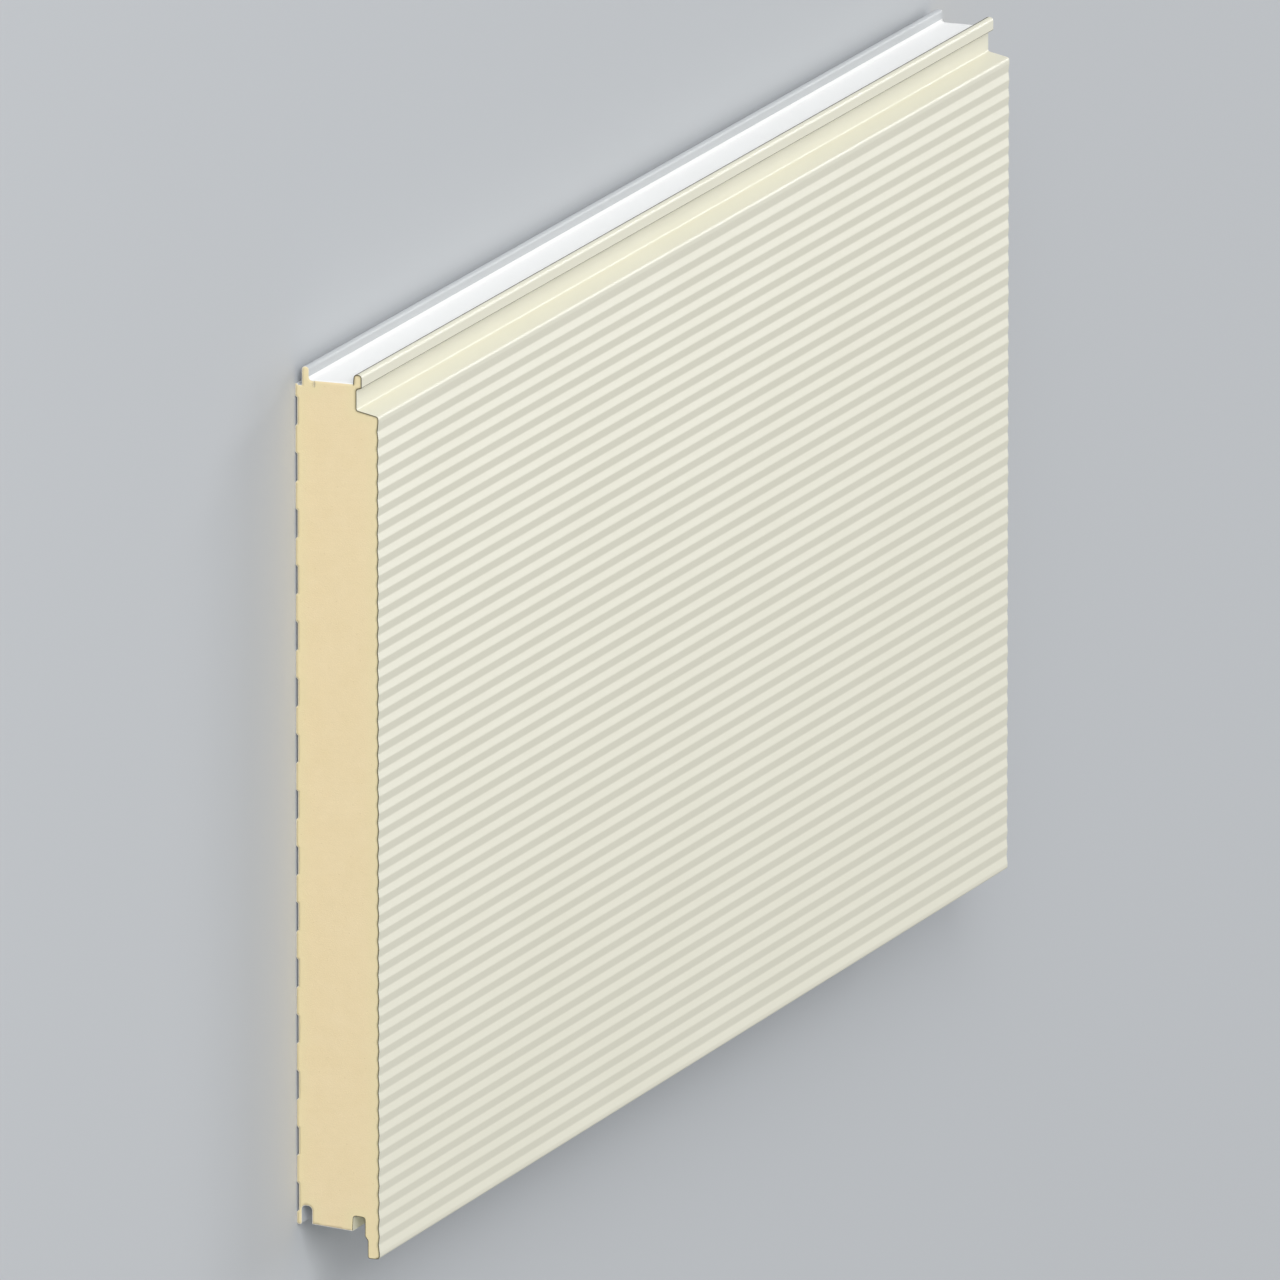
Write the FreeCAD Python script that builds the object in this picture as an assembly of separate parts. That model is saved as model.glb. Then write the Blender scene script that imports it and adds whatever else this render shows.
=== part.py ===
import FreeCAD
import Part
import math
import os

# Insulated wall panel: a rigid foam core bonded between two roll-formed steel sheets, with a double
# tongue-and-groove joint along its long edges. It lies on its liner sheet with the weather face up.
#
# Frame: X runs along the panel, +Y points to the tongue edge, +Z is the outward normal of the weather
# face. The origin is the centre of the footprint, on the plane of the liner rib crests.
# The section is drawn with y from the tip of the weather-face lip and z from the liner rib crests.

# Panel, in millimetres
panel_length = 2000.0
cover_width = 1000.0          # module: the next panel starts this far on
panel_thickness = 100.0       # liner flats to weather-face rib crests
outer_sheet_thickness = 0.6
liner_sheet_thickness = 0.5
edge_film_thickness = 0.3
edge_film_lap = 0.6           # up the side of the liner tongue

# Weather face: shallow ribs of straight facets with soft bends
face_rib_pitch = 20.0
face_rib_depth = 1.2
face_rib_bend = 8.0
face_margin = 4.0             # least flat width left beside the ribs
joint_gap = 5.5               # open joint line between two faces
shoulder_fall = 5.7           # the shoulder sheds water outwards
shoulder_bend = 4.0

# Liner face: low box ribs
liner_rib_pitch = 66.3
liner_rib_width = 33.0        # at half height
liner_rib_height = 2.5
liner_rib_bend = 1.5
liner_margin = 12.0           # least rib width left at each edge

# Tongue edge, from the open joint line upwards
valley_level = 30.3           # valley between the tongues, past the cover width
recess_depth = 27.0           # fixing recess, below the weather-face crests
recess_bend = 2.5
tongue_height = 16.1          # liner tongue, above the valley
outer_tongue_setback = 4.0    # the outer tongue stops short of it
outer_tongue_depth = 20.6     # its weather side, below the weather-face crests
outer_tongue_thickness = 9.6
outer_tongue_fall = 0.9       # its tip falls towards the weather side
outer_tongue_bend = 4.1
outer_tongue_draft = 1.0      # its core side widens towards its foot
hook_drop = 6.2               # foot of the hook, below the valley
hook_rise = 2.2               # the hook's underside rises outwards
hook_bend = 1.4
liner_tongue_start = 8.2      # its liner side, above the liner rib crests
liner_tongue_thickness = 8.6
liner_tongue_bend = 3.8
liner_foot_bend = 4.0
liner_return_reach = 2.6      # flat run of the liner sheet along the valley
liner_return_depth = 6.6      # leg turned down into the foam
liner_return_bend = 1.2
liner_ledge_drop = 6.2        # ledge beside the liner tongue, below the valley
liner_bead_height = 1.7
liner_bead_width = 3.8
liner_bead_bend = 1.0

largest_bend_share = 0.45     # of a rounded tip's thickness

# Groove edge: each groove follows its tongue with a clearance
outer_side_clearance = 2.4
outer_tip_clearance = 6.6
outer_roof_fall = 1.1
outer_roof_bend = 3.2
liner_side_clearance = 2.2
liner_tip_clearance = 9.3
liner_roof_bend_core = 6.0
liner_roof_bend_face = 4.5
land_clearance_outer = 0.8    # land over the valley, at the outer groove
land_clearance_liner = 4.4    # and at the liner groove
lip_thickness = 14.6
lip_chamfer_start = 21.1      # the lip thins past the hook of the panel below
lip_chamfer_rise = 4.9
lip_bend_face = 4.0
lip_bend_back = 2.8
liner_lip_clearance = 8.8     # liner lip over the ledge
liner_lip_bend = 2.7

# Planes and levels of the section
face_plane = liner_rib_height + panel_thickness
valley = cover_width + valley_level
shoulder_corner = cover_width - joint_gap
recess_plane = face_plane - recess_depth
liner_tongue_tip = valley + tongue_height
outer_tongue_tip = liner_tongue_tip - outer_tongue_setback
outer_tongue_front = face_plane - outer_tongue_depth
outer_tongue_back = outer_tongue_front - outer_tongue_thickness
liner_tongue_end = liner_tongue_start + liner_tongue_thickness
liner_ledge = valley - liner_ledge_drop
liner_bead_top = liner_ledge + liner_bead_height
lip_back_plane = face_plane - lip_thickness
outer_groove_front = outer_tongue_front + outer_side_clearance
outer_groove_back = outer_tongue_back - outer_side_clearance
outer_groove_roof = outer_tongue_tip + outer_tip_clearance - cover_width
liner_groove_face = liner_tongue_start - liner_side_clearance
liner_groove_core = liner_tongue_end + liner_side_clearance
liner_groove_roof = liner_tongue_tip + liner_tip_clearance - cover_width
liner_lip_tip = liner_ledge + liner_lip_clearance - cover_width
land_at_outer = valley_level + land_clearance_outer
land_at_liner = valley_level + land_clearance_liner
return_plane = liner_tongue_end + liner_foot_bend + liner_return_reach

panel_width = liner_tongue_tip
start = -panel_length / 2
centre_y = panel_width / 2


def point(y, z):
    return FreeCAD.Vector(start, y - centre_y, z)


def unit(a, b):
    length = math.hypot(b[0] - a[0], b[1] - a[1])
    return ((b[0] - a[0]) / length, (b[1] - a[1]) / length)


def turn(before, after):
    return before[0] * after[1] - before[1] * after[0]


def meet(p, along_p, q, along_q):
    """Where the line through p along along_p meets the line through q along along_q."""
    share = turn((q[0] - p[0], q[1] - p[1]), along_q) / turn(along_p, along_q)
    return (p[0] + share * along_p[0], p[1] + share * along_p[1])


def beside(p, along, shift):
    """p moved by shift to the left of the direction along."""
    return (p[0] - shift * along[1], p[1] + shift * along[0])


def folded_line(corners, shift, cut_start, cut_end):
    """Edges of a folded sheet's line through corners (y, z, bend radius), moved shift to its left.

    The bends of the moved line are concentric with the first one's. Each end stays on its own cut,
    which passes through the end corner in the direction cut_start or cut_end.
    """
    runs = [unit(a, b) for a, b in zip(corners, corners[1:])]
    moved = [meet(beside(corners[0], runs[0], shift), runs[0], corners[0], cut_start)]
    for corner, before, after in zip(corners[1:-1], runs, runs[1:]):
        moved.append(
            meet(beside(corner, before, shift), before, beside(corner, after, shift), after)
        )
    moved.append(meet(beside(corners[-1], runs[-1], shift), runs[-1], corners[-1], cut_end))

    edges = []
    here = moved[0]
    for place, corner, before, after in zip(moved[1:-1], corners[1:-1], runs, runs[1:]):
        bend = turn(before, after)
        radius = corner[2] - shift * math.copysign(1, bend) if corner[2] > 0 else 0
        if radius <= 0:
            edges.append(Part.LineSegment(point(*here), point(*place)).toShape())
            here = place
            continue
        half = math.atan2(abs(bend), before[0] * after[0] + before[1] * after[1]) / 2
        reach = radius * math.tan(half)
        enter = (place[0] - reach * before[0], place[1] - reach * before[1])
        leave = (place[0] + reach * after[0], place[1] + reach * after[1])
        inward = unit((before[0], before[1]), (after[0], after[1]))
        depth = radius / math.cos(half) - radius
        middle = (place[0] + depth * inward[0], place[1] + depth * inward[1])
        edges.append(Part.LineSegment(point(*here), point(*enter)).toShape())
        edges.append(Part.Arc(point(*enter), point(*middle), point(*leave)).toShape())
        here = leave
    edges.append(Part.LineSegment(point(*here), point(*moved[-1])).toShape())
    return edges


def ends(edges):
    """First and last point of a chain of edges."""
    first = edges[0].Vertexes[0].Point
    if len(edges) > 1 and first.isEqual(edges[1].Vertexes[0].Point, 1e-6):
        first = edges[0].Vertexes[1].Point
    last = edges[-1].Vertexes[-1].Point
    return first, last


def joined(a, b):
    return Part.LineSegment(a, b).toShape()


def extruded(edges):
    """The solid of a closed section, carried over the panel's length."""
    wire = Part.Wire(Part.__sortEdges__(edges))
    return Part.Face(wire).extrude(FreeCAD.Vector(panel_length, 0, 0))


# The land between the grooves, between the free edges of both sheets
land_start = (land_at_liner, liner_groove_core)
land_end = (land_at_outer, outer_groove_back - outer_tongue_draft)
land_run = unit(land_start, land_end)

# Direction of the cut at a sheet's free edge on the tongue side, as (y, z)
upright = (0.0, 1.0)


def centred_pattern(width, pitch, least_margin):
    """How many repeats of pitch fit in width, and the margin that they leave at each side."""
    count = int((width - 2 * least_margin) // pitch)
    return count, (width - count * pitch) / 2


def face_rib_corners():
    """Corners of the weather face from the shoulder to the lip: crests and valleys in turn."""
    count, margin = centred_pattern(shoulder_corner, face_rib_pitch, face_margin)
    corners = []
    for step in range(2 * count + 1):
        level = face_plane - face_rib_depth * (step % 2)
        y = shoulder_corner - margin - step * face_rib_pitch / 2
        corners.append((y, level, face_rib_bend))
    return corners


def outer_sheet_corners():
    """Weather side of the outer sheet, from the valley over its tongue and face into its groove."""
    draft = outer_tongue_draft
    hook_foot = valley - hook_drop
    tip_bend = min(outer_tongue_bend, largest_bend_share * outer_tongue_thickness)
    corners = [
        (valley, outer_tongue_back - draft, 0),
        (outer_tongue_tip, outer_tongue_back, tip_bend),
        (outer_tongue_tip - outer_tongue_fall, outer_tongue_front, tip_bend),
        (hook_foot + hook_rise, outer_tongue_front, hook_bend),
        (hook_foot, recess_plane, recess_bend),
        (shoulder_corner + shoulder_fall, recess_plane, recess_bend),
        (shoulder_corner, face_plane, shoulder_bend),
    ]
    corners += face_rib_corners()
    corners += [
        (0, face_plane, lip_bend_face),
        (0, lip_back_plane, lip_bend_back),
        (lip_chamfer_start, lip_back_plane, recess_bend),
        (lip_chamfer_start + lip_chamfer_rise, outer_groove_front, recess_bend),
        (outer_groove_roof - outer_roof_fall, outer_groove_front, outer_roof_bend),
        (outer_groove_roof, outer_groove_back, outer_roof_bend),
        land_end + (0,),
    ]
    return corners


def liner_rib_corners():
    """Corners of the liner face from its lip to its ledge: low flats between box ribs."""
    width = liner_bead_top - liner_lip_tip
    flat_width = liner_rib_pitch - liner_rib_width
    count, margin = centred_pattern(width + liner_rib_width, liner_rib_pitch, liner_margin)
    slope = liner_rib_height / 2
    corners = []
    for step in range(count):
        low = liner_lip_tip + margin + step * liner_rib_pitch
        high = low + flat_width
        corners += [
            (low - slope, 0, liner_rib_bend),
            (low + slope, liner_rib_height, liner_rib_bend),
            (high - slope, liner_rib_height, liner_rib_bend),
            (high + slope, 0, liner_rib_bend),
        ]
    return corners


def liner_sheet_corners():
    """Room side of the liner sheet, from its groove over its lip, face and tongue into the valley."""
    lip_bend = min(liner_lip_bend, largest_bend_share * liner_groove_face)
    tip_bend = min(liner_tongue_bend, largest_bend_share * liner_tongue_thickness)
    corners = [
        land_start + (0,),
        (liner_groove_roof, liner_groove_core, liner_roof_bend_core),
        (liner_groove_roof, liner_groove_face, liner_roof_bend_face),
        (liner_lip_tip, liner_groove_face, lip_bend),
        (liner_lip_tip, 0, lip_bend),
    ]
    corners += liner_rib_corners()
    corners += [
        (liner_bead_top, 0, liner_bead_bend),
        (liner_bead_top, liner_bead_width - liner_bead_height, liner_bead_bend),
        (liner_ledge, liner_bead_width, liner_bead_bend),
        (liner_ledge, liner_tongue_start, liner_bead_bend),
        (liner_tongue_tip, liner_tongue_start, tip_bend),
        (liner_tongue_tip, liner_tongue_end, tip_bend),
        (valley, liner_tongue_end, liner_foot_bend),
        (valley, return_plane, liner_return_bend),
        (valley - liner_return_depth, return_plane, 0),
    ]
    return corners


def sheet_lines(corners, thickness, cut_start, cut_end):
    """The two lines of a sheet's section: its open side, and its side against the foam."""
    return (
        folded_line(corners, 0, cut_start, cut_end),
        folded_line(corners, thickness, cut_start, cut_end),
    )


def sheet_solid(open_side, foam_side):
    open_start, open_end = ends(open_side)
    foam_start, foam_end = ends(foam_side)
    return extruded(open_side + foam_side + [joined(open_start, foam_start), joined(open_end, foam_end)])


def tongue_edge_film():
    """Film from the side of the liner tongue, over the valley, to the outer sheet's free edge."""
    foot = outer_tongue_back - outer_tongue_draft
    lean = unit((valley, foot), (outer_tongue_tip, outer_tongue_back))
    corners = [
        (valley + liner_foot_bend + edge_film_lap, liner_tongue_end, 0),
        (valley, liner_tongue_end, liner_foot_bend),
        (valley, foot, 0),
    ]
    return sheet_solid(
        folded_line(corners, 0, upright, lean),
        folded_line(corners, -edge_film_thickness, upright, lean),
    )


def groove_edge_film():
    """Film over the land, across the free edges of both sheets."""
    lean = unit(land_end, (outer_groove_roof, outer_groove_back))
    corners = [land_start + (0,), land_end + (0,)]
    return sheet_solid(
        folded_line(corners, 0, (1.0, 0.0), lean),
        folded_line(corners, edge_film_thickness, (1.0, 0.0), lean),
    )


def foam_core(outer_foam_side, liner_open_side, liner_foam_side):
    """The foam between the sheets: their foam sides, the two film lines and round the liner's leg."""
    outer_start, outer_end = ends(outer_foam_side)
    liner_start, liner_end = ends(liner_foam_side)
    leg_bend, leg = liner_open_side[-2:]
    closing = [
        joined(outer_end, liner_start),
        joined(liner_end, leg.Vertexes[1].Point),
        leg,
        leg_bend,
        joined(leg_bend.Vertexes[0].Point, outer_start),
    ]
    return extruded(outer_foam_side + liner_foam_side + closing)


def build():
    outer_lines = sheet_lines(outer_sheet_corners(), outer_sheet_thickness, upright, land_run)
    liner_lines = sheet_lines(liner_sheet_corners(), liner_sheet_thickness, land_run, upright)
    return {
        "outer_sheet": sheet_solid(*outer_lines),
        "liner_sheet": sheet_solid(*liner_lines),
        "foam_core": foam_core(outer_lines[1], *liner_lines),
        "tongue_edge_film": tongue_edge_film(),
        "groove_edge_film": groove_edge_film(),
    }


os.makedirs("parts", exist_ok=True)
for name, solid in build().items():
    if not solid.isValid() or solid.ShapeType != "Solid":
        raise ValueError(f"{name} isn't one valid solid")
    solid.exportStep(f"parts/{name}.step")
    print(name, len(solid.Faces), "faces", round(solid.Volume / 1e6, 3), "litres")
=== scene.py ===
import bpy
import numpy as np
from mathutils import Matrix, Vector
from mathutils.geometry import delaunay_2d_cdt


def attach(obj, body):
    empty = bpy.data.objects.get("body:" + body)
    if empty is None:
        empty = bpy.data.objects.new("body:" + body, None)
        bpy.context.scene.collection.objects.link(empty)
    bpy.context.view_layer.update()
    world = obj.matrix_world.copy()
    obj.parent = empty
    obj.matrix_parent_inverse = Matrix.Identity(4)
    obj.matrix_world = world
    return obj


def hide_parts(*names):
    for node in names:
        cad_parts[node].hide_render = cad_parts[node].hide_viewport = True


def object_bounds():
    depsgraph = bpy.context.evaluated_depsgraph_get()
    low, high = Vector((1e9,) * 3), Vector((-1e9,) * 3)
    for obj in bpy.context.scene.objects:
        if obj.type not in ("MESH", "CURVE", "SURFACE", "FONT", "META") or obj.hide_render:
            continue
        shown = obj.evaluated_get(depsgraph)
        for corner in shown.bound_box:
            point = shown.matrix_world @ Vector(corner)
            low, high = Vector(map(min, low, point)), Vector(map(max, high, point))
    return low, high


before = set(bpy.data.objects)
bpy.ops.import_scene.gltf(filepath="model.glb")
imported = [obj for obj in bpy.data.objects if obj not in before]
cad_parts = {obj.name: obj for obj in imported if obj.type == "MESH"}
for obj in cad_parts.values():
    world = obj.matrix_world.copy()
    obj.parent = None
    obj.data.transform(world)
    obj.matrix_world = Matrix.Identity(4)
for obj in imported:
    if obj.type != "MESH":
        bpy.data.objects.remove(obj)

cadBox = [list(corner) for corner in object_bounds()]
mm = 0.001    # the sizes below are in mm, and the scene is in metres
print("frame loaded, CAD box", cadBox)


# Sizes that the pieces share. y runs from the weather lip's tip to the tongues, z from the liner's
# rib crests to the weather face, and x along the panel from its middle.

joint = dict(
    cover=1000.0,              # the next panel starts this far on
    thickness=100.0,           # liner flats to weather-face crests
    valley=30.3,               # valley between the tongues, past the cover width
    tongueHeight=16.1,         # liner tongue over the valley
    outerTongueSetback=4.0,    # the outer tongue stops short of it
    outerTongueFront=20.6,     # below the weather face
    outerTongueThick=9.6,
    outerTongueDraft=1.0,      # its back leans out towards its foot
    linerTongueStart=8.2,      # above the liner's rib crests
    linerTongueThick=8.6,
    ledgeDrop=6.2,             # liner ledge below the valley
    beadHeight=1.7,            # small bead that stands on the ledge
)

length = (cadBox[1][0] - cadBox[0][0]) / mm
facePlane = cadBox[1][2] / mm
linerRibHeight = facePlane - joint["thickness"]
valley = joint["cover"] + joint["valley"]
linerTongueTip = valley + joint["tongueHeight"]
outerTongueTip = linerTongueTip - joint["outerTongueSetback"]
outerTongueFront = facePlane - joint["outerTongueFront"]
outerTongueBack = outerTongueFront - joint["outerTongueThick"]
outerTongueFoot = outerTongueBack - joint["outerTongueDraft"]
linerTongueEnd = joint["linerTongueStart"] + joint["linerTongueThick"]
linerLedge = valley - joint["ledgeDrop"]
beadTop = linerLedge + joint["beadHeight"]
centreY = linerTongueTip / 2


def hexColour(text):
    # sRGB hex to the linear colour that the shaders take
    part = np.array([int(text[i:i + 2], 16) for i in (1, 3, 5)]) / 255
    return tuple(np.where(part < 0.04045, part / 12.92, ((part + 0.055) / 1.055) ** 2.4)) + (1.0,)


def feed(tree, node, inputs):
    # Each input gets a plain value, or a link from the output socket that feeds it
    for key, value in inputs.items():
        if isinstance(value, bpy.types.NodeSocket):
            tree.links.new(value, node.inputs[key])
        else:
            node.inputs[key].default_value = value


def addNode(tree, kind, inputs=None, **settings):
    # One node with its settings and its inputs
    made = tree.nodes.new(kind)
    for key, value in settings.items():
        setattr(made, key, value)
    feed(tree, made, inputs or {})
    return made


def newMaterial(name):
    made = bpy.data.materials.new(name)
    made.use_nodes = True
    tree = made.node_tree
    tree.nodes.clear()
    shader = addNode(tree, "ShaderNodeBsdfPrincipled")
    addNode(tree, "ShaderNodeOutputMaterial", {"Surface": shader.outputs[0]})
    where = addNode(tree, "ShaderNodeTexCoord").outputs["Object"]
    return made, tree, shader, where


def newPiece(name, points, faces, materials, materialOf=0, smooth=True, cornerNormals=None):
    # A mesh object at the origin. Points are in mm in the section's frame, and each face is a list
    # of their numbers. A material's number or a smoothness is one for all faces, or one for each.
    mesh = bpy.data.meshes.new(name)
    placed = (points - [0, centreY, 0]) * mm
    mesh.from_pydata(placed.tolist(), [], faces)
    for material in materials:
        mesh.materials.append(material)
    count = len(faces)
    mesh.polygons.foreach_set("material_index", np.broadcast_to(materialOf, count).astype(np.int32))
    mesh.polygons.foreach_set("use_smooth", np.broadcast_to(smooth, count).astype(bool))
    mesh.update()
    if cornerNormals is not None:
        mesh.normals_split_custom_set(cornerNormals.reshape(-1, 3).tolist())
    made = bpy.data.objects.new(name, mesh)
    bpy.context.scene.collection.objects.link(made)
    return made


def takeOver(made, node):
    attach(made, "root")
    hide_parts(node)


def cross(a, b):
    return a[..., 0] * b[..., 1] - a[..., 1] * b[..., 0]


def direction(a, b):
    step = np.subtract(b, a)
    return step / np.linalg.norm(step)


def wayAlong(line):
    # Distance of each point of a line from its start, measured along it
    return np.insert(np.cumsum(np.linalg.norm(np.diff(line, axis=0), axis=1)), 0, 0)


bendSteps = 8       # straight runs that stand for each bend
leastBend = 0.05    # least radius, so that no bend turns inside out


def foldLine(corners, shift, startCut, endCut):
    # The line of a folded strip through corners (y, z, bend radius), moved by shift to its left.
    # Each moved run is parallel to its own, moved corners are where neighbouring runs meet, and a
    # bend is an arc about the same centre: centre + rotation(angle * t) of its first spoke, with t
    # from 0 to 1. The cuts are the directions of the strip's two free edges. Returns the points and
    # the unit normals on the right-hand side.
    place, radius = corners[:, :2], corners[1:-1, 2]
    run = np.diff(place, axis=0)
    run /= np.linalg.norm(run, axis=1, keepdims=True)
    left = np.stack([-run[:, 1], run[:, 0]], 1)
    base = np.vstack([place[:1], place[:-1] + shift * left, place[-1:]])
    along = np.vstack([startCut, run, endCut])
    share = cross(base[1:] - base[:-1], along[1:]) / cross(along[:-1], along[1:])
    moved = base[:-1] + share[:, None] * along[:-1]
    angle = np.arctan2(cross(run[:-1], run[1:]), (run[:-1] * run[1:]).sum(1))
    bend = np.maximum(radius - np.sign(angle) * shift, leastBend)
    enter = moved[1:-1] - (bend * np.tan(np.abs(angle) / 2))[:, None] * run[:-1]
    toCentre = (np.sign(angle) * bend)[:, None] * left[:-1]
    turned = angle[:, None] * np.linspace(0, 1, bendSteps + 1)
    c, s = np.cos(turned)[..., None], np.sin(turned)[..., None]
    spoke, outward = -toCentre[:, None], -left[:-1, None]
    quarter = np.array([[0, 1], [-1, 0]])
    arcs = (enter + toCentre)[:, None] + spoke * c + (spoke @ quarter) * s
    normals = outward * c + (outward @ quarter) * s
    points = np.vstack([moved[:1], arcs.reshape(-1, 2), moved[-1:]])
    normals = np.vstack([-left[:1], normals.reshape(-1, 2), -left[-1:]])
    return points, normals


def bendRuns(bend, first, last):
    # Numbers of some runs of one bend of a folded line. A bend has one point more than it has runs,
    # and the strip's free edge comes before them all.
    start = 1 + bend * (bendSteps + 1)
    return np.arange(start + first, start + last)


def stripPiece(name, openSide, foamSide, materials, shadedRuns=slice(0)):
    # A sheet carried along x: its open skin, its foam skin, its two free edges and its two sawn
    # ends. Materials are the paint, the backing coat, the cut steel, and a dark painted shade for
    # chosen runs of the open skin.
    (outer, outerNormal), (inner, innerNormal) = openSide, foamSide
    count = len(outer)
    far, runs = 2 * count, count - 1
    ring = np.vstack([outer, inner])
    points = np.vstack([np.insert(ring, 0, x, axis=1) for x in (-length / 2, length / 2)])
    i = np.arange(runs)
    skin = np.stack([i, i + 1, i + 1 + far, i + far], 1)
    back = np.stack([i, i + far, i + 1 + far, i + 1], 1) + count
    first = np.array([[0, far, count + far, count]])
    last = np.array([[2 * count - 1, 2 * count - 1 + far, count - 1 + far, count - 1]])
    near = np.stack([i, i + count, i + 1 + count, i + 1], 1)
    end = near[:, ::-1] + far
    faces = np.vstack([skin, back, first, last, near, end])

    normals = np.zeros((len(faces), 4, 3))
    normals[:runs, :, 1:] = outerNormal[skin % far]
    normals[runs:2 * runs, :, 1:] = -innerNormal[back % far - count]
    normals[2 * runs, :, 1:] = direction(outer[1], outer[0])
    normals[2 * runs + 1, :, 1:] = direction(outer[-2], outer[-1])
    normals[2 * runs + 2:3 * runs + 2, :, 0] = -1
    normals[3 * runs + 2:, :, 0] = 1
    materialOf = np.repeat([0, 1, 2], [runs, runs, 2 * runs + 2])
    materialOf[:runs][shadedRuns] = 3
    return newPiece(name, points, faces.tolist(), materials, materialOf, cornerNormals=normals)


outerSheet = dict(
    thick=0.6,
    ribPitch=20.0, ribDepth=1.2, ribBend=8.0,    # shallow ribs of straight facets with soft bends
    leastMargin=4.0,                             # least flat width beside the ribs
    openJoint=5.5,                               # joint line between two panels' faces
    shoulderFall=5.7, shoulderBend=4.0,          # the shoulder sheds water outwards
    recessDepth=27.0, recessBend=2.5,            # fixing recess, below the weather face
    tongueFall=0.9, tongueBend=4.1,              # the tongue's tip falls to the weather side
    hookDrop=6.2, hookRise=2.2, hookBend=1.4,    # hook beside the tongue, below the valley
    grooveSide=2.4, grooveTip=6.6,               # play beside the tongue and over its tip
    roofFall=1.1, roofBend=3.2,                  # the groove's roof falls the same way
    land=0.8,                                    # the land stands off the valley
    lipThick=14.6, lipBendFace=4.0, lipBendBack=2.8,
    chamferStart=21.1, chamferRise=4.9,          # the lip thins past the hook of the panel below
)

linerSheet = dict(
    thick=0.5,
    ribPitch=66.3, ribWidth=33.0, ribBend=1.5,    # low box ribs, their width at half height
    leastMargin=12.0,                             # least rib width left at each edge
    grooveSide=2.2, grooveTip=9.3,                # play beside the tongue and over its tip
    roofBendCore=6.0, roofBendFace=4.5,
    land=4.4,                                     # the land stands off the valley
    lipGap=8.8, lipBend=2.7,                      # the lip stops short of the ledge
    beadWidth=3.8, beadBend=1.0,
    tongueBend=3.8, footBend=4.0,
    returnReach=2.6,                              # flat run along the valley
    legDepth=6.6, legBend=1.2,                    # leg turned into the foam
)

outerGrooveBack = outerTongueBack - outerSheet["grooveSide"]
landEnd = (joint["valley"] + outerSheet["land"], outerGrooveBack - joint["outerTongueDraft"])
landStart = (joint["valley"] + linerSheet["land"], linerTongueEnd + linerSheet["grooveSide"])
landRun = direction(landStart, landEnd)
upright = np.array([0.0, 1.0])
sideways = np.array([1.0, 0.0])


def outerCorners(o):
    # Corners of the weather side, from the valley over the outer tongue, the face and the lip to
    # the land
    hookFoot = valley - o["hookDrop"]
    recess = facePlane - o["recessDepth"]
    shoulder = joint["cover"] - o["openJoint"]
    front = outerTongueFront + o["grooveSide"]
    roof = outerTongueTip + o["grooveTip"] - joint["cover"]
    lipBack = facePlane - o["lipThick"]
    before = [
        (valley, outerTongueFoot, 0),
        (outerTongueTip, outerTongueBack, o["tongueBend"]),
        (outerTongueTip - o["tongueFall"], outerTongueFront, o["tongueBend"]),
        (hookFoot + o["hookRise"], outerTongueFront, o["hookBend"]),
        (hookFoot, recess, o["recessBend"]),
        (shoulder + o["shoulderFall"], recess, o["recessBend"]),
        (shoulder, facePlane, o["shoulderBend"]),
    ]
    count = int((shoulder - 2 * o["leastMargin"]) // o["ribPitch"])
    step = np.arange(2 * count + 1)
    margin = (shoulder - count * o["ribPitch"]) / 2
    ribs = np.stack([
        shoulder - margin - step * o["ribPitch"] / 2,
        facePlane - o["ribDepth"] * (step % 2),
        np.full(len(step), o["ribBend"]),
    ], 1)
    after = [
        (0, facePlane, o["lipBendFace"]),
        (0, lipBack, o["lipBendBack"]),
        (o["chamferStart"], lipBack, o["recessBend"]),
        (o["chamferStart"] + o["chamferRise"], front, o["recessBend"]),
        (roof - o["roofFall"], front, o["roofBend"]),
        (roof, outerGrooveBack, o["roofBend"]),
        landEnd + (0,),
    ]
    return np.vstack([before, ribs, after])


def linerCorners(o):
    # Corners of the room side, from the land over the liner lip, the ribs, the ledge and the tongue
    # to the leg
    face = joint["linerTongueStart"] - o["grooveSide"]
    roof = linerTongueTip + o["grooveTip"] - joint["cover"]
    lip = linerLedge + o["lipGap"] - joint["cover"]
    leg = linerTongueEnd + o["footBend"] + o["returnReach"]
    before = [
        landStart + (0,),
        (roof, landStart[1], o["roofBendCore"]),
        (roof, face, o["roofBendFace"]),
        (lip, face, o["lipBend"]),
        (lip, 0, o["lipBend"]),
    ]
    span = beadTop - lip + o["ribWidth"]
    count = int((span - 2 * o["leastMargin"]) // o["ribPitch"])
    low = lip + (span - count * o["ribPitch"]) / 2 + np.arange(count)[:, None] * o["ribPitch"]
    high = low + o["ribPitch"] - o["ribWidth"]
    slope = linerRibHeight / 2
    y = np.hstack([low - slope, low + slope, high - slope, high + slope]).ravel()
    z = np.tile([0, linerRibHeight, linerRibHeight, 0], count)
    ribs = np.stack([y, z, np.full(len(y), o["ribBend"])], 1)
    after = [
        (beadTop, 0, o["beadBend"]),
        (beadTop, o["beadWidth"] - joint["beadHeight"], o["beadBend"]),
        (linerLedge, o["beadWidth"], o["beadBend"]),
        (linerLedge, joint["linerTongueStart"], o["beadBend"]),
        (linerTongueTip, joint["linerTongueStart"], o["tongueBend"]),
        (linerTongueTip, linerTongueEnd, o["tongueBend"]),
        (valley, linerTongueEnd, o["footBend"]),
        (valley, leg, o["legBend"]),
        (valley - o["legDepth"], leg, 0),
    ]
    return np.vstack([before, ribs, after])


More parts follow.
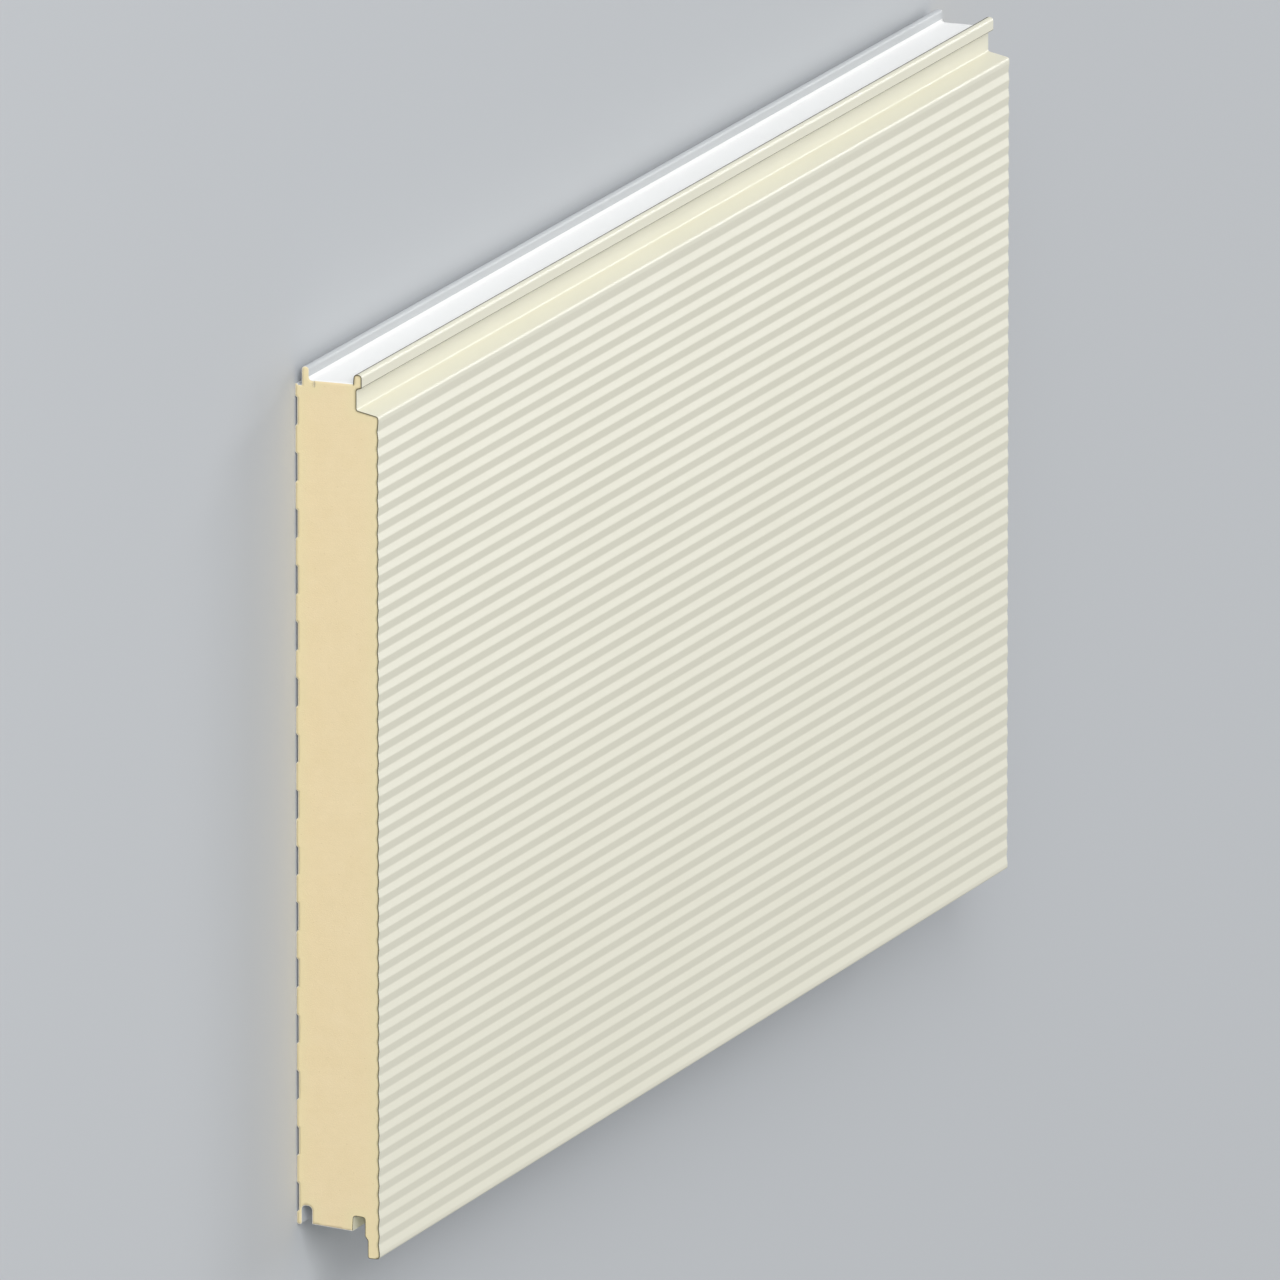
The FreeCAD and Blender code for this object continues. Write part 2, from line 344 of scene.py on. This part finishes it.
outerLine = outerCorners(outerSheet)
linerLine = linerCorners(linerSheet)
outerOpen = foldLine(outerLine, 0, upright, landRun)
outerFoam = foldLine(outerLine, outerSheet["thick"], upright, landRun)
linerOpen = foldLine(linerLine, 0, landRun, upright)
linerFoam = foldLine(linerLine, linerSheet["thick"], landRun, upright)
print("section worked out,", len(outerOpen[0]), "and", len(linerOpen[0]), "points")


# Looks of the sheets. A pattern's size is that of its largest spots, in mm.

ivoryLook = dict(
    light="#F1EEDA", deep="#EDEAD5", cloud=160.0,    # soft clouds between the two tones
    roughness=0.56, glossPlay=0.03, streak=7.0,      # it is this much duller or glossier in streaks
    alongCoil=0.08,                                  # streaks and waves are drawn out along x
    wave=120.0, waveHeight=0.25,
    peel=5.0, peelHeight=0.006,
    topCoat=0.22, topCoatRoughness=0.2, ior=1.5,
)
greyWhiteLook = dict(
    ivoryLook, light="#CED1D3", deep="#C9CCCE", roughness=0.6, waveHeight=0.2, topCoat=0.12)
primerLook = dict(deep="#8B8A80", light="#9A988C", cloud=6.0, roughness=0.6)
# Painted shade for the tongue's crease and back bend: dark olive in place of the shade there
tongueShadeLook = dict(deep="#5F5B4C", light="#716C5B", smear=14.0, roughness=0.7)
burntCut = dict(
    deep="#37331F", light="#494431", metallic=0.6, roughness=0.55,
    scratch=0.8, acrossCut=0.15,                     # scratches are drawn out along y
)
dustyCut = dict(burntCut, deep="#F3EAD2", light="#FBF4E2", metallic=0.1)


def coilCoat(name, look):
    # Coil-coated steel: polyester paint baked on the flat strip before it was rolled. It gives an
    # even satin colour, a faint orange peel, slight streaks along the rolling direction and long
    # soft waves where the thin sheet is held by the foam.
    made, tree, shader, where = newMaterial(name)
    alongCoil = addNode(tree, "ShaderNodeMapping", {
        "Vector": where, "Scale": (look["alongCoil"], 1.0, 1.0)})
    streak = addNode(tree, "ShaderNodeTexNoise", {
        "Vector": alongCoil.outputs[0], "Scale": 1 / (look["streak"] * mm), "Detail": 3.0})
    cloud = addNode(tree, "ShaderNodeTexNoise", {
        "Vector": where, "Scale": 1 / (look["cloud"] * mm), "Detail": 2.0})
    tone = addNode(tree, "ShaderNodeMix", {
        "Factor": cloud.outputs[0], "A": hexColour(look["deep"]), "B": hexColour(look["light"])},
        data_type="RGBA")
    satin = addNode(tree, "ShaderNodeMapRange", {
        "Value": streak.outputs[0], "From Min": 0.3, "From Max": 0.7,
        "To Min": look["roughness"] - look["glossPlay"],
        "To Max": look["roughness"] + look["glossPlay"]})
    wave = addNode(tree, "ShaderNodeTexNoise", {
        "Vector": alongCoil.outputs[0], "Scale": 1 / (look["wave"] * mm), "Detail": 1.0})
    peel = addNode(tree, "ShaderNodeTexNoise", {
        "Vector": where, "Scale": 1 / (look["peel"] * mm), "Detail": 2.0})
    soft = addNode(tree, "ShaderNodeBump", {
        "Height": wave.outputs[0], "Strength": 1.0, "Distance": look["waveHeight"] * mm})
    fine = addNode(tree, "ShaderNodeBump", {
        "Height": peel.outputs[0], "Strength": 1.0, "Distance": look["peelHeight"] * mm,
        "Normal": soft.outputs[0]})
    feed(tree, shader, {
        "Base Color": tone.outputs["Result"], "Roughness": satin.outputs[0],
        "Normal": fine.outputs[0], "IOR": look["ior"],
        "Coat Weight": look["topCoat"], "Coat Roughness": look["topCoatRoughness"]})
    return made


def backingCoat(name, look):
    # Backing primer: a thin grey-green epoxy coat on the foam side of the strip, matt
    made, tree, shader, where = newMaterial(name)
    cloud = addNode(tree, "ShaderNodeTexNoise", {
        "Vector": where, "Scale": 1 / (look["cloud"] * mm), "Detail": 3.0})
    tone = addNode(tree, "ShaderNodeMix", {
        "Factor": cloud.outputs[0], "A": hexColour(look["deep"]), "B": hexColour(look["light"])},
        data_type="RGBA")
    feed(tree, shader, {"Base Color": tone.outputs["Result"], "Roughness": look["roughness"]})
    return made


def sawnSteel(name, look):
    # Galvanised steel cut by a saw: bare metal with fine scratches along the cut, dark and dull
    # where the blade burnt the paint on to it and pale where foam dust clings to it
    made, tree, shader, where = newMaterial(name)
    acrossCut = addNode(tree, "ShaderNodeMapping", {
        "Vector": where, "Scale": (1.0, look["acrossCut"], 1.0)})
    scratch = addNode(tree, "ShaderNodeTexNoise", {
        "Vector": acrossCut.outputs[0], "Scale": 1 / (look["scratch"] * mm), "Detail": 3.0})
    tone = addNode(tree, "ShaderNodeMix", {
        "Factor": scratch.outputs[0], "A": hexColour(look["deep"]), "B": hexColour(look["light"])},
        data_type="RGBA")
    feed(tree, shader, {
        "Base Color": tone.outputs["Result"],
        "Metallic": look["metallic"], "Roughness": look["roughness"]})
    return made


def paintedTongueShade(name, look):
    # Painted shade: a matt, faintly smeared dark line standing in for shade at the tongue's bends
    made, tree, shader, where = newMaterial(name)
    smear = addNode(tree, "ShaderNodeTexNoise", {
        "Vector": where, "Scale": 1 / (look["smear"] * mm), "Detail": 3.0})
    tone = addNode(tree, "ShaderNodeMix", {
        "Factor": smear.outputs[0], "A": hexColour(look["deep"]), "B": hexColour(look["light"])},
        data_type="RGBA")
    feed(tree, shader, {"Base Color": tone.outputs["Result"], "Roughness": look["roughness"]})
    return made


ivoryPaint = coilCoat("ivory polyester coil coat", ivoryLook)
greyWhitePaint = coilCoat("grey-white polyester coil coat", greyWhiteLook)
primer = backingCoat("backing primer", primerLook)
tongueShadePaint = paintedTongueShade("painted shade on the tongue", tongueShadeLook)
darkSteel = sawnSteel("sawn steel of the weather sheet", burntCut)
paleSteel = sawnSteel("sawn steel of the liner sheet", dustyCut)

# Runs painted dark as shade: the back of the tongue's first bend, where it turns away from the
# light, and the crease where its side turns in to the hook
tongueBackShade = bendRuns(0, bendSteps // 2, bendSteps)    # in the tongue's first bend, up to its tip
hookCreaseShade = bendRuns(2, 0, 3)                         # where its side turns in to the hook
outerPiece = stripPiece(
    "outerSheet", outerOpen, outerFoam, [ivoryPaint, primer, darkSteel, tongueShadePaint],
    np.hstack([tongueBackShade, hookCreaseShade]))
linerPiece = stripPiece("linerSheet", linerOpen, linerFoam, [greyWhitePaint, primer, paleSteel])
takeOver(outerPiece, "outer_sheet")
takeOver(linerPiece, "liner_sheet")
print("sheets made")


foamCore = dict(
    grid=2.0,                     # spacing of the sawn end's points
    edgeClear=0.8,                # shares of the spacing that they keep from the outline
    rings=(0.45, 1.1),            # extra points this far inside the weather sheet
    ringClear=0.9,                # share of that distance that they keep from the outline
    ringPoints=1400,
    samePoint=1e-4,               # outline points closer than this are one
    weld=1e-5,                    # the same for the triangles' corners
    onOutline=1e-3,               # points this close to the outline lie on it
    strokePitch=9.0,              # saw strokes across the thickness
    strokeDepth=0.05,
    strokeLean=0.12,              # they lean by this share of the thickness
    strokeBow=1.5, bowWave=23.0,
    strokeFade=61.0,              # they grow weaker and stronger over this
    hollowDepth=0.09,             # slow unevenness of the cut
    hollowOne=(37.0, 29.0),       # its two waves, across and through the panel
    hollowTwo=(83.0, 17.0),
    edgeRun=8.0, edgeEase=1.5,    # the cut is true beside the sheets
    bondShadeReach=1.0,                # the bond line, partly painted seam shade, shows dark this close to the weather sheet
    legBondShade=0.5,                  # and this much of it beside the liner's leg
    denseReach=11.0,              # the foam is denser and yellower this close to a sheet
)


def evenly(share, lines):
    # Each array of lines read at the same even steps along the first one
    way = wayAlong(lines[0])
    spots = share * way[-1]
    return [np.stack([np.interp(spots, way, part) for part in line.T], 1) for line in lines]


def foamOutline():
    # The outer sheet's foam side, then the liner's, then round the liner's leg to the valley. Long
    # runs are divided evenly: corner + run * step / steps.
    legPoints = linerOpen[0][::-1][:bendSteps + 2]    # the free edge, and the leg's bend
    outline = np.vstack([outerFoam[0], linerFoam[0], legPoints])
    run = np.roll(outline, -1, axis=0) - outline
    apart = np.linalg.norm(run, axis=1)
    kept = apart > foamCore["samePoint"]
    outline, run, apart = outline[kept], run[kept], apart[kept]
    steps = np.ceil(apart / foamCore["grid"]).astype(int)
    begin = np.repeat(np.cumsum(steps) - steps, steps)
    share = (np.arange(steps.sum()) - begin) / np.repeat(steps, steps)
    return np.repeat(outline, steps, axis=0) + share[:, None] * np.repeat(run, steps, axis=0)


def insideOutline(spots, outline):
    # A spot is inside where a ray from it towards +z crosses the outline an odd number of times
    a, b = outline, np.roll(outline, -1, axis=0)
    y, z = spots[:, :1], spots[:, 1:]
    spans = (a[:, 0] > y) != (b[:, 0] > y)
    run = np.where(b[:, 0] == a[:, 0], 1.0, b[:, 0] - a[:, 0])
    level = a[:, 1] + (y - a[:, 0]) / run * (b[:, 1] - a[:, 1])
    return (spans & (level > z)).sum(1) % 2 == 1


def gapToLine(spots, line, blocks=40):
    # Distance from each spot to the nearest of the line's runs, in blocks that spare the memory
    a, run = line[:-1], np.diff(line, axis=0)
    nearest = np.empty(len(spots))
    for block in np.array_split(np.arange(len(spots)), blocks):
        away = spots[block, None] - a
        share = np.clip((away * run).sum(2) / (run * run).sum(1), 0, 1)
        nearest[block] = np.linalg.norm(away - share[..., None] * run, axis=2).min(1)
    return nearest


def sawnRelief(y, z, gap, turn):
    # Depth of the cut below its plane: strokes are sine ridges along the thickness that lean and
    # bow a little, and the hollows are a sum of slow sines. Both fade to nothing at the sheets.
    o = foamCore
    lean = y + o["strokeLean"] * z * turn + o["strokeBow"] * np.sin(z / o["bowWave"] + turn)
    stroke = o["strokeDepth"] * (0.5 + 0.5 * np.sin(2 * np.pi * lean / o["strokePitch"]))
    stroke *= 0.6 + 0.4 * np.sin(y / o["strokeFade"] + turn)
    waveOne = np.sin(y / o["hollowOne"][0] + z / o["hollowOne"][1])
    waveTwo = np.sin(y / o["hollowTwo"][0] - z / o["hollowTwo"][1] + turn)
    hollow = o["hollowDepth"] * (0.5 + 0.25 * waveOne + 0.25 * waveTwo)
    return (stroke + hollow) * np.clip(gap / o["edgeRun"], 0, 1) ** o["edgeEase"]


def foamArrays():
    # The core's section filled with triangles for both ends, with the saw's relief, and the walls
    # between them. Returns the section's points, the faces of the near end, of the far end and of
    # the walls, and the points of the whole core.
    o = foamCore
    outline = foamOutline()
    low, high = outline.min(0), outline.max(0)
    grid = np.stack(np.meshgrid(
        np.arange(low[0] + 1, high[0], o["grid"]),
        np.arange(low[1] + 1, high[1], o["grid"])), -1).reshape(-1, 2)
    closed = np.vstack([outline, outline[:1]])
    grid = grid[gapToLine(grid, closed) > o["edgeClear"] * o["grid"]]
    rings = [foldLine(outerLine, outerSheet["thick"] + away, upright, landRun)[0]
             for away in o["rings"]]
    rings = evenly(np.linspace(0, 1, o["ringPoints"]), rings)
    rings = [ring[gapToLine(ring, closed) > o["ringClear"] * away]
             for ring, away in zip(rings, o["rings"])]
    grid = np.vstack([grid] + rings)
    grid = grid[insideOutline(grid, outline)]
    count = len(outline)
    spots = [Vector(spot) for spot in np.vstack([outline, grid])]
    rim = [(i, (i + 1) % count) for i in range(count)]
    flat, _, faces, _, _, _ = delaunay_2d_cdt(spots, rim, [], 1, o["weld"])
    flat, faces = np.array(flat), np.array(faces)
    gap = gapToLine(flat, closed)
    gap[gap < o["onOutline"]] = 0

    ends = []
    for side in (-1, 1):
        x = side * (length / 2 - sawnRelief(flat[:, 0], flat[:, 1], gap, side))
        ends.append(np.insert(flat, 0, x, axis=1))
    corner = flat[faces]
    around = cross(corner[:, 1] - corner[:, 0], corner[:, 2] - corner[:, 0])
    faces = np.where((around > 0)[:, None], faces, faces[:, ::-1])
    near, far = faces[:, ::-1], faces + len(flat)

    i = np.arange(count)
    following = (i + 1) % count
    wall = np.stack([i, following, following + len(flat), i + len(flat)], 1)
    signed = cross(outline, np.roll(outline, -1, axis=0)).sum()
    wall = wall[:, ::-1] if signed < 0 else wall
    return flat, near, far, wall, np.vstack(ends)


def bondShadeShare(spots):
    # The dark line along the weather side, from the outer tongue to the lip's tip, partly the bond
    # and partly painted shade of the seam, and a fainter one along the liner's leg in the foam:
    # exp(-(gap / reach) squared)
    pastLip = 5 * (bendSteps + 1) + 1    # points of the last five bends and of the free edge
    toSheet = gapToLine(spots, outerFoam[0][:-pastLip])
    toLeg = gapToLine(spots, linerOpen[0][-2:])
    sheetShare = np.exp(-(toSheet / foamCore["bondShadeReach"]) ** 2)
    legShare = foamCore["legBondShade"] * np.exp(-(toLeg / foamCore["bondShadeReach"]) ** 2)
    return np.maximum(sheetShare, legShare)


def makeFoam(material):
    # The core, with two shares at each point for its material: skin is 1 on the bond line, which
    # is drawn dark as bond and painted seam shade, and dense is 1 at a sheet and falls as
    # exp(-(gap / reach) squared)
    flat, near, far, wall, points = foamArrays()
    faces = near.tolist() + far.tolist() + wall.tolist()
    smooth = np.repeat([True, False], [len(near) + len(far), len(wall)])
    made = newPiece("foamCore", points, faces, [material], smooth=smooth)
    toSheet = np.minimum(gapToLine(flat, outerFoam[0]), gapToLine(flat, linerFoam[0]))
    shares = dict(skin=bondShadeShare(flat), dense=np.exp(-(toSheet / foamCore["denseReach"]) ** 2))
    for name, share in shares.items():
        layer = made.data.attributes.new(name, "FLOAT", "POINT")
        layer.data.foreach_set("value", np.tile(share, 2))
    return made


foamLook = dict(
    deep="#EBD7AB", light="#F2DFB7", cloud=22.0,
    grain=1.4, grainDark=0.98, grainLight=1.01,
    cell=1.0, cellDepth=0.25,
    void=11.0, voidStart=0.04, voidEnd=0.08,    # voids start and end at these shares of their pitch
    voidColour="#CDB482", voidShare=0.35,
    denseColour="#EBDEB1", denseShare=0.6,
    # the bond line's dark olive is partly the glue and partly painted shade of the seam
    bondShadeColour="#5A5238", bondShadeShare=0.95,
    roughness=0.95, specular=0.2,
)


def sawnFoam(name, look):
    # Rigid polyisocyanurate foam cut by a saw: matt straw-coloured cells of about 0.3 mm, drawn at
    # 1 mm so that they show, soft clouds where the foam rose, a few faint voids, denser and
    # yellower foam near the sheets, and an olive line along the weather sheet, partly the bond
    # where it set against it and partly painted shade of the seam.
    made, tree, shader, where = newMaterial(name)
    cloud = addNode(tree, "ShaderNodeTexNoise", {
        "Vector": where, "Scale": 1 / (look["cloud"] * mm), "Detail": 4.0, "Roughness": 0.6})
    grain = addNode(tree, "ShaderNodeTexNoise", {
        "Vector": where, "Scale": 1 / (look["grain"] * mm), "Detail": 2.0})
    cells = addNode(tree, "ShaderNodeTexVoronoi", {
        "Vector": where, "Scale": 1 / (look["cell"] * mm)})
    voids = addNode(tree, "ShaderNodeTexVoronoi", {
        "Vector": where, "Scale": 1 / (look["void"] * mm)})
    tone = addNode(tree, "ShaderNodeMix", {
        "Factor": cloud.outputs[0], "A": hexColour(look["deep"]), "B": hexColour(look["light"])},
        data_type="RGBA")
    speck = addNode(tree, "ShaderNodeMapRange", {
        "Value": grain.outputs[0], "From Min": 0.35, "From Max": 0.65,
        "To Min": look["grainDark"], "To Max": look["grainLight"]})
    grained = addNode(tree, "ShaderNodeVectorMath", {
        "Vector": tone.outputs["Result"], "Scale": speck.outputs[0]}, operation="SCALE")
    dense = addNode(tree, "ShaderNodeAttribute", attribute_name="dense", attribute_type="GEOMETRY")
    denseShare = addNode(tree, "ShaderNodeMath", {
        0: dense.outputs["Fac"], 1: look["denseShare"]}, operation="MULTIPLY")
    yellowed = addNode(tree, "ShaderNodeMix", {
        "Factor": denseShare.outputs[0], "A": grained.outputs[0],
        "B": hexColour(look["denseColour"])}, data_type="RGBA")
    # skin darkens the foam along the sheets: partly the bond, partly painted seam shade
    skin = addNode(tree, "ShaderNodeAttribute", attribute_name="skin", attribute_type="GEOMETRY")
    bondShadeWeight = addNode(tree, "ShaderNodeMath", {
        0: skin.outputs["Fac"], 1: look["bondShadeShare"]}, operation="MULTIPLY")
    bondShaded = addNode(tree, "ShaderNodeMix", {
        "Factor": bondShadeWeight.outputs[0], "A": yellowed.outputs["Result"],
        "B": hexColour(look["bondShadeColour"])}, data_type="RGBA")
    hole = addNode(tree, "ShaderNodeMapRange", {
        "Value": voids.outputs["Distance"], "From Min": look["voidStart"],
        "From Max": look["voidEnd"], "To Min": look["voidShare"], "To Max": 0.0})
    holed = addNode(tree, "ShaderNodeMix", {
        "Factor": hole.outputs[0], "A": bondShaded.outputs["Result"],
        "B": hexColour(look["voidColour"])}, data_type="RGBA")
    depth = addNode(tree, "ShaderNodeMath", {
        0: cells.outputs["Distance"], 1: hole.outputs[0]}, operation="SUBTRACT")
    relief = addNode(tree, "ShaderNodeBump", {
        "Height": depth.outputs[0], "Strength": 0.6, "Distance": look["cellDepth"] * mm})
    feed(tree, shader, {
        "Base Color": holed.outputs["Result"], "Normal": relief.outputs[0],
        "Roughness": look["roughness"], "Specular IOR Level": look["specular"]})
    return made


foamPiece = makeFoam(sawnFoam("sawn polyisocyanurate foam", foamLook))
takeOver(foamPiece, "foam_core")
print("foam core made")


edgeFilm = dict(
    thick=0.3,
    lap=0.6,                                         # up the side of the liner tongue
    alongStep=6.0, acrossSteps=32,                   # grid of the film's face
    crease=0.16,                                     # height of the highest crease
    slantOne=(31.0, 7.0), slantTwo=(53.0, 11.0),     # waves of the two families, along and across
    wanderOne=(1.3, 97.0), wanderTwo=(0.8, 71.0),    # how much they wander, and over what length
    swell=(180.0, 19.0),                             # the slow swell's wave, along and across
    sideFade=4.0, endFade=6.0,                       # creases fade out this close to the edges
)


def filmCreases(u, v):
    # Height of the creases: two families of slanting ridges, each a sine raised to a power so that
    # it is sharp on top, over a slow swell
    o = edgeFilm
    (oneAlong, oneAcross), (twoAlong, twoAcross) = o["slantOne"], o["slantTwo"]
    (oneWander, oneOver), (twoWander, twoOver) = o["wanderOne"], o["wanderTwo"]
    ridgeOne = np.abs(np.sin(u / oneAlong + v / oneAcross + oneWander * np.sin(u / oneOver)))
    ridgeTwo = np.abs(np.sin(u / twoAlong - v / twoAcross + twoWander * np.sin(u / twoOver + 2)))
    swell = 0.5 + 0.5 * np.sin(u / o["swell"][0] + v / o["swell"][1])
    return o["crease"] * (0.5 * ridgeOne ** 6 + 0.3 * ridgeTwo ** 8 + 0.2 * swell)


def filmPiece(name, corners, startCut, endCut, material):
    # A strip laid along x on the line through the corners. Its bonded face is that line, and its
    # free face is the line moved to its right by the thickness, plus the creases, which fade out at
    # its four edges.
    o = edgeFilm
    corners = np.array(corners, float)
    bonded, outwards = foldLine(corners, 0, startCut, endCut)
    free, _ = foldLine(corners, -o["thick"], startCut, endCut)
    even = np.linspace(0, 1, o["acrossSteps"] + 1)
    bonded, free, outwards = evenly(even, [bonded, free, outwards])
    alongX = np.linspace(-0.5, 0.5, int(length / o["alongStep"]) + 1) * length
    u, v = np.meshgrid(alongX, wayAlong(bonded), indexing="ij")
    toSide = np.minimum(v, v.max() - v) / o["sideFade"]
    toEnd = (length / 2 - np.abs(u)) / o["endFade"]
    height = filmCreases(u, v) * np.clip(np.minimum(toSide, toEnd), 0, 1)
    raised = free + outwards * height[..., None]
    flat = np.broadcast_to(bonded, raised.shape)
    rows, columns = u.shape
    top = rows * columns
    points = np.concatenate([
        np.dstack([u, flat]).reshape(-1, 3), np.dstack([u, raised]).reshape(-1, 3)])
    index = np.arange(top).reshape(rows, columns)
    quad = np.stack([index[:-1, :-1], index[1:, :-1], index[1:, 1:], index[:-1, 1:]], -1)
    quad = quad.reshape(-1, 4)
    rim = np.concatenate([index[0, :], index[1:, -1], index[-1, -2::-1], index[-2:0:-1, 0]])
    nextRim = np.roll(rim, -1)
    walls = np.stack([rim, nextRim, nextRim + top, rim + top], 1)
    faces = np.vstack([quad, quad[:, ::-1] + top, walls])
    smooth = np.repeat([True, False], [2 * len(quad), len(walls)])
    return newPiece(name, points, faces.tolist(), [material], smooth=smooth)


filmLook = dict(
    deep="#FBFBF9", light="#FEFEFD", cloud=60.0,
    crinkle=9.0, crinkleHeight=0.2,
    roughness=0.55, sheen=0.6, sheenRoughness=0.45,
)


def whiteFilm(name, look):
    # Gas-tight facing: white-coated aluminium and kraft laminate, matt, with fine crinkles from
    # laying
    made, tree, shader, where = newMaterial(name)
    crinkle = addNode(tree, "ShaderNodeTexNoise", {
        "Vector": where, "Scale": 1 / (look["crinkle"] * mm), "Detail": 4.0, "Roughness": 0.55})
    cloud = addNode(tree, "ShaderNodeTexNoise", {
        "Vector": where, "Scale": 1 / (look["cloud"] * mm), "Detail": 2.0})
    tone = addNode(tree, "ShaderNodeMix", {
        "Factor": cloud.outputs[0], "A": hexColour(look["deep"]), "B": hexColour(look["light"])},
        data_type="RGBA")
    relief = addNode(tree, "ShaderNodeBump", {
        "Height": crinkle.outputs[0], "Strength": 0.5, "Distance": look["crinkleHeight"] * mm})
    feed(tree, shader, {
        "Base Color": tone.outputs["Result"], "Normal": relief.outputs[0],
        "Roughness": look["roughness"], "Sheen Weight": look["sheen"],
        "Sheen Roughness": look["sheenRoughness"]})
    return made


laminate = whiteFilm("white facing laminate", filmLook)
tongueLean = direction((valley, outerTongueFoot), (outerTongueTip, outerTongueBack))
grooveRoof = (outerTongueTip + outerSheet["grooveTip"] - joint["cover"], outerGrooveBack)

tongueFilm = filmPiece("tongueEdgeFilm", [
    (valley + linerSheet["footBend"] + edgeFilm["lap"], linerTongueEnd, 0),
    (valley, linerTongueEnd, linerSheet["footBend"]),
    (valley, outerTongueFoot, 0),
], upright, tongueLean, laminate)
grooveFilm = filmPiece("grooveEdgeFilm", [
    landEnd + (0,),
    landStart + (0,),
], direction(landEnd, grooveRoof), sideways, laminate)
takeOver(tongueFilm, "tongue_edge_film")
takeOver(grooveFilm, "groove_edge_film")
print("films made")


# The studio, in metres and watts. A lamp's direction points to it from the panel's middle.

studio = dict(
    floor="#CDD0D3", floorRoughness=0.9, floorSize=60.0,
    floorDrop=0.0003,    # a hair under the ribs, so that the two never coincide
    keyFrom=(-0.70, 0.55, 0.44), keyDistance=20.0, keySize=16.0, keyPower=2950.0,
    farFrom=(0.87, 0.0, 0.50), farDistance=17.0, farSize=5.8, farPower=400.0,
    rimFrom=(0.90, 0.26, 0.34), rimDistance=14.0, rimSize=2.6, rimPower=232.0,
    world="#E9EBEE", worldStrength=0.50,
)


def makeFloor():
    # A plain pale floor. It's clear from below, and for light that has come through it to the
    # part's underside.
    mesh = bpy.data.meshes.new("floor")
    side, level = studio["floorSize"] / 2, -studio["floorDrop"]
    square = ((-1, -1), (1, -1), (1, 1), (-1, 1))
    corners = [(side * x, side * y, level) for x, y in square]
    mesh.from_pydata(corners, [], [(0, 1, 2, 3)])
    material, tree, shader, _ = newMaterial("pale studio floor")
    feed(tree, shader, {
        "Base Color": hexColour(studio["floor"]), "Roughness": studio["floorRoughness"]})
    clear = addNode(tree, "ShaderNodeBsdfTransparent")
    below = addNode(tree, "ShaderNodeMath", {
        0: addNode(tree, "ShaderNodeNewGeometry").outputs["Backfacing"],
        1: addNode(tree, "ShaderNodeLightPath").outputs["Transparent Depth"]}, operation="MAXIMUM")
    mixed = addNode(tree, "ShaderNodeMixShader", {
        0: below.outputs[0], 1: shader.outputs[0], 2: clear.outputs[0]})
    out = next(node for node in tree.nodes if node.type == "OUTPUT_MATERIAL")
    feed(tree, out, {"Surface": mixed.outputs[0]})
    mesh.materials.append(material)
    floor = bpy.data.objects.new("floor", mesh)
    bpy.context.scene.collection.objects.link(floor)


def makeLamp(name, toLamp, distance, size, power):
    # A round soft lamp that faces the panel's middle
    data = bpy.data.lights.new(name, "AREA")
    data.shape, data.size, data.energy = "DISK", size, power
    lamp = bpy.data.objects.new(name, data)
    away = Vector(toLamp).normalized()
    lamp.location = away * distance
    lamp.rotation_mode = "QUATERNION"
    lamp.rotation_quaternion = away.to_track_quat("Z", "Y")
    lamp.visible_camera = False
    bpy.context.scene.collection.objects.link(lamp)


def makeWorld():
    world = bpy.data.worlds.new("studio")
    world.use_nodes = True
    tree = world.node_tree
    feed(tree, tree.nodes["Background"], {
        "Color": hexColour(studio["world"]), "Strength": studio["worldStrength"]})
    bpy.context.scene.world = world


makeFloor()
makeWorld()
for lampName in ("key", "far", "rim"):
    makeLamp(lampName, studio[lampName + "From"], studio[lampName + "Distance"],
             studio[lampName + "Size"], studio[lampName + "Power"])


# The camera stands far off the panel's end and looks down on the weather face, turned so that the
# tongue edge is at the top of the view. Angles are in degrees and distances in metres.

view = dict(
    turn=68.34, rise=13.63, distance=45.6,
    aimRight=-0.0225, aimUp=-0.020,    # it aims this far beside the panel's middle
    lens=1096.8, sensor=36.0,          # in mm
    clipStart=1.0, clipEnd=200.0,
)


def makeCamera():
    turn, rise = np.radians(view["turn"]), np.radians(view["rise"])
    back = Vector((-np.sin(turn) * np.cos(rise), np.sin(rise), np.cos(turn) * np.cos(rise)))
    right = Vector((np.cos(turn), 0, np.sin(turn)))
    up = back.cross(right)
    centre = (Vector(cadBox[0]) + Vector(cadBox[1])) / 2
    data = bpy.data.cameras.new("camera")
    data.lens, data.sensor_width = view["lens"], view["sensor"]
    data.clip_start, data.clip_end = view["clipStart"], view["clipEnd"]
    camera = bpy.data.objects.new("camera", data)
    place = centre + right * view["aimRight"] + up * view["aimUp"] + back * view["distance"]
    camera.matrix_world = Matrix((
        (right.x, up.x, back.x, place.x),
        (right.y, up.y, back.y, place.y),
        (right.z, up.z, back.z, place.z),
        (0, 0, 0, 1)))
    bpy.context.scene.collection.objects.link(camera)
    bpy.context.scene.camera = camera


makeCamera()
bpy.context.scene.view_settings.view_transform = "Standard"
print("studio made")
